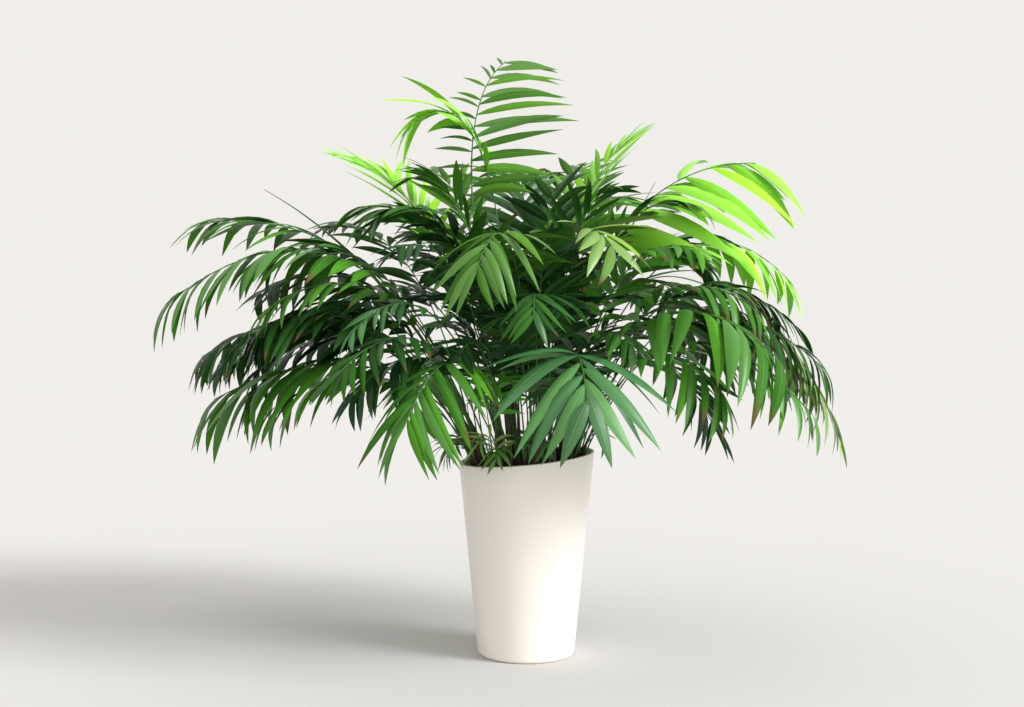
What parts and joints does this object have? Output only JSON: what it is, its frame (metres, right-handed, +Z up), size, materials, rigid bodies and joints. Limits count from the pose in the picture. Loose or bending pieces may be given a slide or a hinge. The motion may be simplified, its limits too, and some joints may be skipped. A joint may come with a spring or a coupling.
{
  "type": "potted parlour palm",
  "caption": "Clump of thin palm canes with arching feather fronds, standing in soil in a plain white tapered pot; indoor plant for a sideboard, shelf or table.",
  "frame": {"origin": "centre of the pot's flat underside, on the surface that the plant stands on", "axes": "+Z up; +Y towards the back of the plant as it is usually seen; +X to the right as seen from its front"},
  "size_m": [0.8628, 0.7098, 0.7872],
  "materials": {
    "pot": "satin glaze, off-white",
    "soil": "rough, matt",
    "cane": "satin, ringed",
    "leaf_deep": "satin",
    "leaf_dark": "satin",
    "leaf_mid": "satin",
    "leaf_fresh": "satin",
    "leaf_lime": "satin",
    "leaf_blue": "satin",
    "leaf_olive": "satin"
  },
  "bodies": {
    "root": {"pot": "pot", "soil": "soil", "cane_01": "cane", "cane_02": "cane", "cane_03": "cane", "cane_04": "cane", "cane_05": "cane", "cane_06": "cane", "cane_07": "cane", "cane_08": "cane", "cane_09": "cane", "cane_10": "cane", "cane_11": "cane", "cane_12": "cane", "cane_13": "cane", "top": "leaf_fresh", "top_left": "leaf_lime", "far_left_pale": "leaf_lime", "left_upper_dark": "leaf_dark", "left_top": "leaf_mid", "left_mid": "leaf_mid", "left_dark": "leaf_dark", "left_low": "leaf_mid", "front_left": "leaf_mid", "front_right": "leaf_blue", "front_centre": "leaf_fresh", "right_bright": "leaf_lime", "right_second": "leaf_lime", "right_long": "leaf_olive", "right_front": "leaf_mid", "right_low_back": "leaf_deep", "top_right": "leaf_lime", "top_right_back": "leaf_fresh", "centre_dark": "leaf_deep", "right_inner_pale": "leaf_olive", "left_small": "leaf_blue", "right_inner_dark": "leaf_dark", "back_left_high": "leaf_mid", "back_left_mid": "leaf_dark", "back_left_low": "leaf_mid", "back_high": "leaf_mid", "back_mid": "leaf_fresh", "back_low": "leaf_dark", "back_right_high": "leaf_mid", "back_right_mid": "leaf_mid", "front_mid_dark": "leaf_dark", "front_left_inner": "leaf_deep", "front_right_inner": "leaf_mid", "centre_left": "leaf_deep", "centre_back": "leaf_dark", "centre_front": "leaf_dark", "spear_left": "leaf_dark", "spear_right": "leaf_dark", "spear_back": "leaf_mid"}
  },
  "joints": []
}
